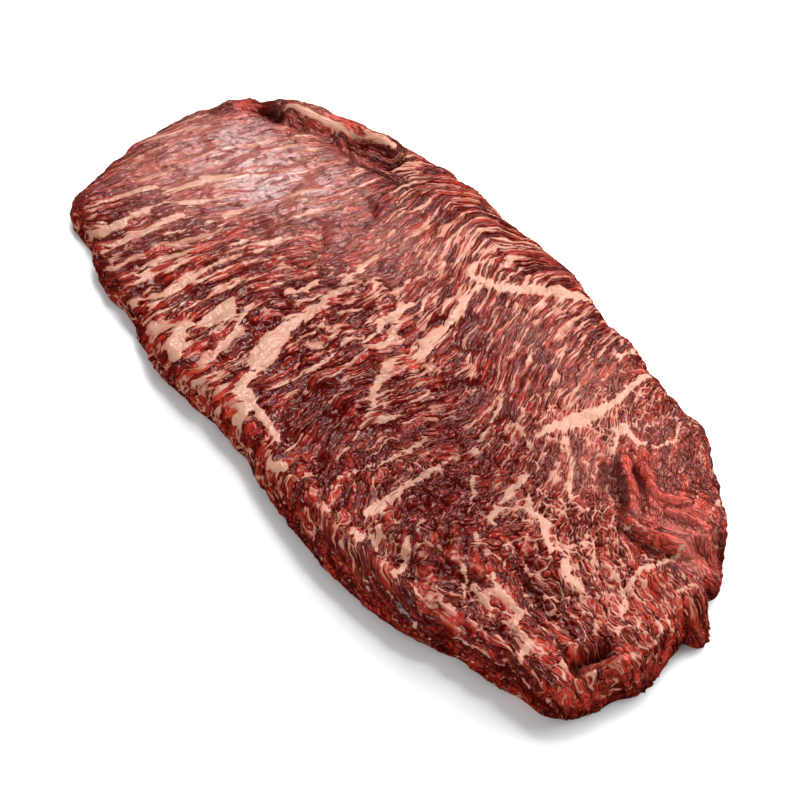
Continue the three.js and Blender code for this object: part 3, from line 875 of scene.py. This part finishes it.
def flesh_material(settings):
    """Raw marbled beef: dark lean under cream fat, moist all over."""
    material = bpy.data.materials.new("raw_marbled_beef")
    material.use_nodes = True
    material.node_tree.nodes.clear()
    g = Graph(material.node_tree)

    def attribute(name):
        return g.node("ShaderNodeAttribute", output=1, attribute_name=name)

    p = flesh_pattern(g, attribute)
    bright, raised, sheen = g.parts(attribute("tints"))
    depth = fat_depth(p)
    fat = depth.smooth(-0.045, 0.045)
    bare = (-depth - p.edge).smooth(-0.1, 0.15)
    patch = g.noise(p.x, p.y, PATCH, (120, 0), detail=3.0, roughness=0.6)
    fibre = g.noise(p.u, p.v, FIBRE, (20, 0), roughness=0.6)
    grit = g.cells(p.u, p.v, GRIT)
    own, own_2, _ = g.parts(p.own)

    # The ribs: how they round off, and where they show at all
    side = (p.edge * (p.film_and_painted_sheen * 1.2 + 2.4)).smaller(1.0)
    dome = side * (2 - side)
    shown = (p.strand * 1.5 + p.clump - 0.65 + (1 - p.film_and_painted_sheen) * 0.4 - raised * 0.4).clipped(0.0, 1.0)
    middle = 1 - (1 - p.edge.smooth(0.0, 0.2)) * shown

    # The lean: painted shade at the sides of its ribs and in the gaps between them. It is redder where
    # freshly cut, on fold tops and on the walls, with painted light on the far rim and the ragged end, and
    # pale under the film, which also paints sheen
    tone = 0.44 - (1 - dome) * bare * (0.7 - raised * 0.4) - p.gap * 0.45
    tone = tone + (patch - 0.5) * 0.9 + (own - 0.5) * 0.45 + (fibre - 0.5)
    lean = g.mix(tone.smooth(0.05, 0.75), (*settings.dark_lean_and_shade, 1), (*settings.lean, 1))
    # Redder where freshly cut, on fold tops and walls, with painted light on the far rim and the ragged end
    fresh_and_lit = bright * 0.9 + raised * 0.5 + p.wall * 0.2 + (patch - 0.5) * 1.4 + (own_2 - 0.5) * 0.7
    lean = g.mix(fresh_and_lit.smooth(0.3, 1.0) * middle, lean, (*settings.bright_lean, 1))
    # Pale film on the ribs' middles: the membrane, and painted sheen
    lean = g.mix(p.film_and_painted_sheen * middle * 0.55, lean, (*settings.film_and_painted_sheen, 1))
    threads = grit.smooth(0.02, 0.18, 1.0, 0.0) * (1 - p.gap) * (p.strand * 1.2 - 0.1)
    threads = threads * (p.nodular * 0.2 + 0.25) * (1 - p.wall * 0.6)
    lean = g.mix(threads, lean, (*settings.thin_fat, 1))

    # The fat: thin at its edges, cream where it is thick
    thick = depth * 2.2 + p.seam.smooth(-1.2, 0.8) * 0.45 + (fibre - 0.5) * 0.5
    cream = g.mix(thick.smooth(0.0, 0.9), (*settings.thin_fat, 1), (*settings.fat, 1))
    # Painted shade: the sunken and dull places are mixed towards dark lean
    colour = g.mix(p.painted_shade * 0.8, g.mix(fat, lean, cream), (*settings.dark_lean_and_shade, 1))

    pebble = g.noise(p.x, p.y, PEBBLE, (30, 0), detail=1.0)
    height = dome * (p.wall * 0.3 + 0.6) * (1 - fat * 0.8) * shown - p.gap * (1 - fat) * 0.7 + fat * 0.15
    height = height + grit.smooth(0.0, 0.4) * (0.12 - fat * 0.06) + (pebble - 0.5) * (0.35 - p.film_and_painted_sheen * 0.2)
    bump = g.node("ShaderNodeBump", {"Strength": 1.0, "Distance": 1 * MM, "Height": height})
    shader = g.node("ShaderNodeBsdfPrincipled", {
        "Base Color": colour, "Roughness": fat * 0.12 + p.film_and_painted_sheen * 0.1 - p.wall * 0.03 + 0.11, "Normal": bump,
        "Specular IOR Level": 0.22, "Specular Tint": (1.0, 0.80, 0.74, 1.0), "Subsurface Weight": 0.3,
        "Subsurface Scale": 1.5 * MM, "Subsurface Radius": (1.0, 0.25, 0.15),
        "Coat Weight": sheen * 0.45 + p.wall * 0.35, "Coat Roughness": 0.2})
    g.node("ShaderNodeOutputMaterial", [shader])
    return material


def relief_tree(material, settings):
    """Geometry nodes that push the skin in and out along its normal by the flesh pattern."""
    tree = bpy.data.node_groups.new("flesh_relief", "GeometryNodeTree")
    tree.interface.new_socket("Geometry", in_out="INPUT", socket_type="NodeSocketGeometry")
    for name, value in (
            ("Bundle relief", settings.bundle_relief), ("Strand relief", settings.strand_relief),
            ("Groove depth", settings.groove_depth), ("Fat relief", settings.fat_relief)):
        socket = tree.interface.new_socket(name, in_out="INPUT", socket_type="NodeSocketFloat")
        socket.default_value = value
    tree.interface.new_socket("Geometry", in_out="OUTPUT", socket_type="NodeSocketGeometry")
    g = Graph(tree)
    start = g.node("NodeGroupInput").socket.node
    geometry, bundles, strands, grooves, fats = (Value(g, socket) for socket in start.outputs[:5])

    def attribute(name):
        return g.node("GeometryNodeInputNamedAttribute", {"Name": name}, data_type="FLOAT_VECTOR")

    p = flesh_pattern(g, attribute)
    fat = fat_depth(p).smooth(-0.1, 0.15)
    bundles = bundles * (1 - p.film_and_painted_sheen * 0.6)
    swell = g.noise(p.u, p.v, SWELL, (150, 0))
    lump = g.noise(p.x, p.y, LUMP, (180, 0))
    height = (swell - 0.5) * bundles * 1.3 + (p.clump - 0.5) * bundles * 0.9
    height = height + (p.strand - 0.5) * strands + fat * fats - p.gap * grooves * (1 - fat)
    height = (height + (lump - 0.62) * p.wall * 2.6) * (1 - p.under * 0.9)
    height = height.towards(height.smaller(0.0), p.under)
    height = height * g.parts(g.node("GeometryNodeInputPosition"))[2].smooth(0.0, FOOT_EASE * MM)
    normal = g.node("GeometryNodeInputNormal")
    offset = g.node("ShaderNodeVectorMath", {0: normal, 3: height * MM}, operation="SCALE")
    moved = g.node("GeometryNodeSetPosition", {"Geometry": geometry, "Offset": offset})
    real = g.node("GeometryNodeRealizeInstances", [moved])
    finished = g.node("GeometryNodeSetMaterial", {"Geometry": real, "Material": material})
    g.node("NodeGroupOutput", [finished])
    return tree


class STEAK_OT_flank_steak(bpy.types.Operator):
    """Builds the steak: its slab, the relief of its flesh and its marbling"""

    bl_idname = "steak.flank_steak"
    bl_label = "Flank steak"

    def execute(self, context):
        settings = context.scene.steak_settings
        points, faces, plan = build_slab(COLUMNS, ROWS, WALL_ANGLES, COARSE)
        mesh = bpy.data.meshes.new("flank_steak_skin")
        mesh.from_pydata((points * MM).tolist(), [], faces)
        mesh.update()
        mesh.polygons.foreach_set("use_smooth", [True] * len(mesh.polygons))
        for name, columns in skin_fields(points, plan).items():
            field = mesh.attributes.new(name, "FLOAT_VECTOR", "POINT")
            field.data.foreach_set("vector", np.column_stack(columns).astype(np.float32).ravel())

        skin = bpy.data.objects.new("flank_steak_skin", mesh)
        context.scene.collection.objects.link(skin)
        material = flesh_material(settings)
        mesh.materials.append(material)
        modifier = skin.modifiers.new("flesh_relief", "NODES")
        modifier.node_group = relief_tree(material, settings)
        for item in modifier.node_group.interface.items_tree:
            if item.in_out == "INPUT" and item.socket_type == "NodeSocketFloat":
                modifier[item.identifier] = item.default_value
        context.view_layer.update()
        evaluated = skin.evaluated_get(context.evaluated_depsgraph_get())
        finished = bpy.data.meshes.new_from_object(evaluated)
        skin.modifiers.clear()
        bpy.data.objects.remove(skin)
        finished.name = "flank_steak_flesh"
        steak = bpy.data.objects.new("flank_steak_flesh", finished)
        context.scene.collection.objects.link(steak)
        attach(steak, "root")
        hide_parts("flank_steak")
        return {"FINISHED"}


def area_light(name, place, target, size, power):
    data = bpy.data.lights.new(name, "AREA")
    data.shape = "RECTANGLE"
    data.size, data.size_y = size
    data.energy = power
    light = bpy.data.objects.new(name, data)
    light.location = place
    light.rotation_euler = (Vector(target) - Vector(place)).to_track_quat("-Z", "Y").to_euler()
    bpy.context.scene.collection.objects.link(light)
    return light


class STEAK_OT_stage(bpy.types.Operator):
    """Lays the floor and sets the lights and the camera"""

    bl_idname = "steak.stage"
    bl_label = "Stage"

    def execute(self, context):
        settings = context.scene.steak_stage
        mesh = bpy.data.meshes.new("floor")
        corners = [(x * HALF_FLOOR, y * HALF_FLOOR, 0) for x, y in ((-1, -1), (1, -1), (1, 1), (-1, 1))]
        mesh.from_pydata(corners, [], [(0, 1, 2, 3)])
        floor = bpy.data.objects.new("floor", mesh)
        context.scene.collection.objects.link(floor)
        material = bpy.data.materials.new("pale_floor")
        material.use_nodes = True
        shader = material.node_tree.nodes["Principled BSDF"]
        shader.inputs["Base Color"].default_value = (*settings.floor_colour, 1)
        shader.inputs["Roughness"].default_value = 0.9
        shader.inputs["Specular IOR Level"].default_value = 0.2
        mesh.materials.append(material)
        floor.visible_glossy = False

        key = bpy.data.lights.new("key_light", "SUN")
        key.energy, key.angle = settings.key_strength, settings.key_spread
        sun = bpy.data.objects.new("key_light", key)
        sun.rotation_euler = Vector(KEY_FROM).to_track_quat("Z", "Y").to_euler()
        context.scene.collection.objects.link(sun)
        sheen = area_light("sheen_light", *SHEEN_LIGHT, settings.sheen_power)
        fill = area_light("fill_light", *FILL_LIGHT, settings.fill_power)
        fill.visible_glossy = False
        front = area_light("front_light", *FRONT_LIGHT, settings.front_power)
        far = area_light("far_light", *FAR_LIGHT, settings.far_power)
        world = bpy.data.worlds.new("studio")
        world.use_nodes = True
        background = world.node_tree.nodes["Background"]
        background.inputs["Color"].default_value = (1, 1, 1, 1)
        background.inputs["Strength"].default_value = ROOM_LIGHT
        context.scene.world = world
        world.cycles_visibility.glossy = False
        context.scene.view_settings.view_transform = "Standard"

        azimuth, elevation = math.radians(AZIMUTH), math.radians(ELEVATION)
        level = math.cos(elevation)
        back = Vector((math.sin(azimuth) * level, -math.cos(azimuth) * level, math.sin(elevation)))
        data = bpy.data.cameras.new("camera")
        data.lens, data.sensor_width = LENS, SENSOR
        camera = bpy.data.objects.new("camera", data)
        camera.location = Vector(LOOKS_AT) * MM + back * DISTANCE * MM
        camera.rotation_euler = (-back).to_track_quat("-Z", "Y").to_euler()
        context.scene.collection.objects.link(camera)
        context.scene.camera = camera
        return {"FINISHED"}


class STEAK_PT_panel(bpy.types.Panel):
    """The steak's settings and its builders"""

    bl_idname = "STEAK_PT_panel"
    bl_label = "Flank steak"
    bl_space_type = "VIEW_3D"
    bl_region_type = "UI"
    bl_category = "Flank steak"

    def draw(self, context):
        scene = context.scene
        for settings, operator in (
                (scene.steak_settings, STEAK_OT_flank_steak), (scene.steak_stage, STEAK_OT_stage)):
            for name in settings.__annotations__:
                self.layout.prop(settings, name)
            self.layout.operator(operator.bl_idname)


CLASSES = (SteakSettings, StageSettings, STEAK_OT_flank_steak, STEAK_OT_stage, STEAK_PT_panel)


def register():
    for cls in CLASSES:
        bpy.utils.register_class(cls)
    bpy.types.Scene.steak_settings = bpy.props.PointerProperty(type=SteakSettings)
    bpy.types.Scene.steak_stage = bpy.props.PointerProperty(type=StageSettings)


def unregister():
    del bpy.types.Scene.steak_stage
    del bpy.types.Scene.steak_settings
    for cls in reversed(CLASSES):
        bpy.utils.unregister_class(cls)


def main():
    register()
    bpy.ops.steak.flank_steak()
    bpy.ops.steak.stage()


if __name__ == "__main__":
    main()
